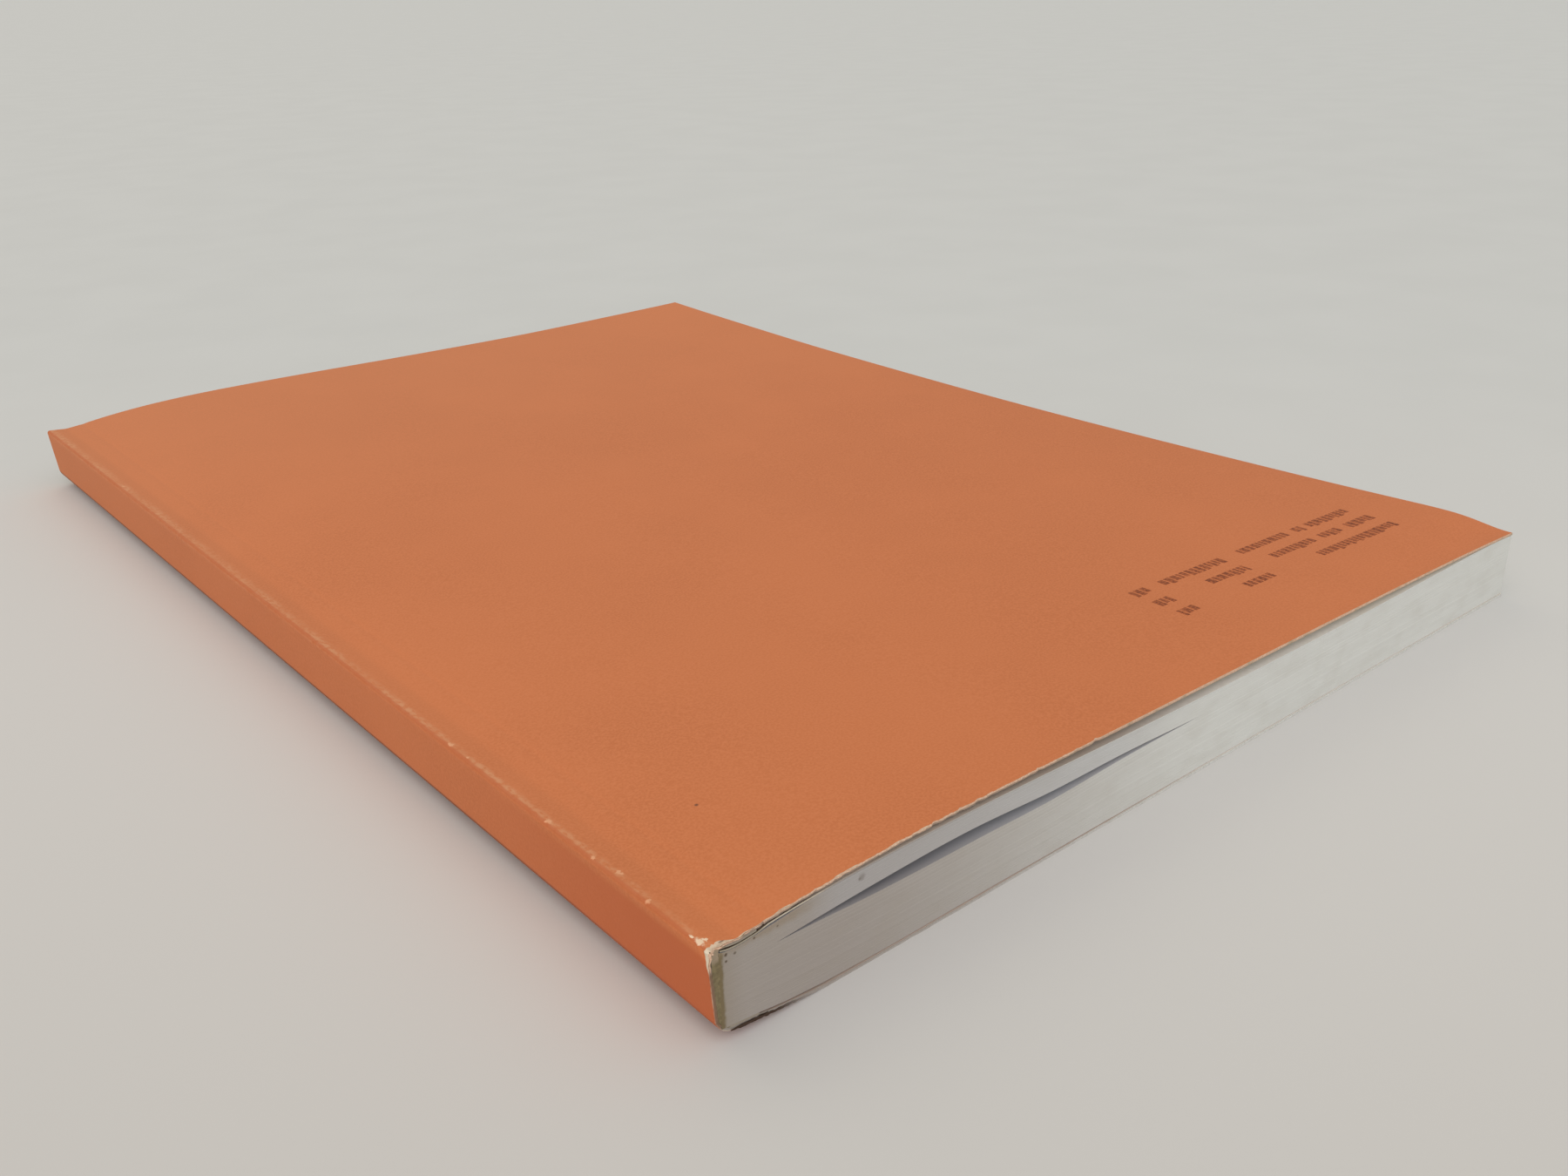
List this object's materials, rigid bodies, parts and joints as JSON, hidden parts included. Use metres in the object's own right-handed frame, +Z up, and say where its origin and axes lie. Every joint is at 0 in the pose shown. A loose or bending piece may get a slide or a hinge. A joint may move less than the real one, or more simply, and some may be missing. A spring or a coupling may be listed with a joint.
{
  "type": "paperback book",
  "caption": "Closed perfect-bound paperback in a plain card cover with creased hinge strips, a glued spine and covers that open.",
  "frame": {"origin": "on the table under the middle of the closed book", "axes": "+X from the spine to the fore edge, +Y from the head to the tail, +Z up through the back cover"},
  "size_m": [0.148, 0.21, 0.0126],
  "materials": {
    "cover_card": "matt, uncoated, worn pale at the edges",
    "pages": "matt cut edges of leaves",
    "glue": "dull olive brown hot-melt glue"
  },
  "bodies": {
    "book_block": {"page_block": "pages", "spine_glue": "glue", "spine": "cover_card"},
    "back_cover": {"back_cover": "cover_card"},
    "front_cover": {"front_cover": "cover_card"}
  },
  "joints": [
    {"name": "back_cover_hinge", "type": "hinge", "parent": "book_block", "child": "back_cover", "pos_m": [-0.0675, 0, 0.01135], "axis": [0, -1, 0], "range_deg": [0, 170]},
    {"name": "front_cover_hinge", "type": "hinge", "parent": "book_block", "child": "front_cover", "pos_m": [-0.0675, 0, 0.00043], "axis": [0, 1, 0], "range_deg": [0, 180]}
  ]
}
